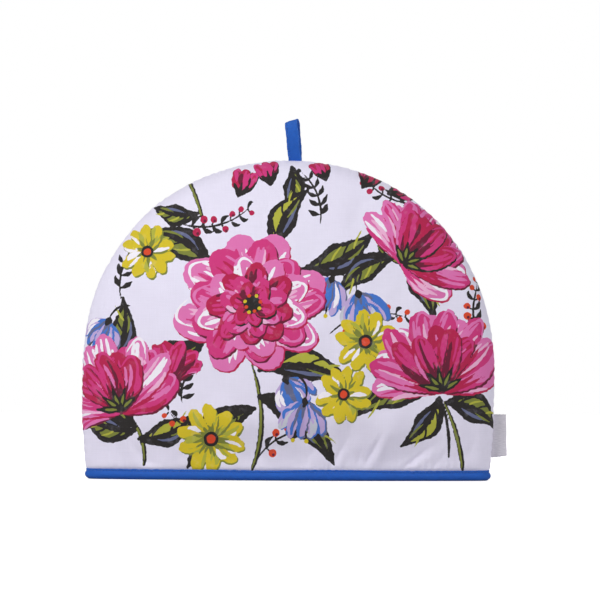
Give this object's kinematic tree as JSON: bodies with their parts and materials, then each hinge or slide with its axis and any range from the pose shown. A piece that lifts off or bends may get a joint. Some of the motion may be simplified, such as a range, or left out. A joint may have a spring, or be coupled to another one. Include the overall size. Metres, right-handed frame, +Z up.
{
  "type": "tea cosy",
  "caption": "Padded, dome-shaped cloth tea cosy that stands on its bound hem, with a tape loop at the top and a blank ribbon label in the side seam.",
  "frame": {"origin": "on the surface that the hem stands on, under the middle of the whole cosy, its side label included; the middle of the dome is 5.25 mm from it towards -X", "axes": "+Z is up, the front panel faces -Y, and the side label is at +X"},
  "size_m": [0.3556, 0.1182, 0.3034],
  "materials": {
    "printed_cotton": "plain-woven cotton with a many-coloured flower print on a lilac-white ground, over soft wadding; matt",
    "blue_tape": "royal blue cotton tape, folded and stitched, with a slight sheen",
    "white_ribbon": "off-white woven satin ribbon, blank"
  },
  "bodies": {
    "root": {"front_panel": "printed_cotton", "back_panel": "printed_cotton", "hem_binding": "blue_tape", "hanging_loop": "blue_tape", "side_label": "white_ribbon"}
  },
  "joints": []
}
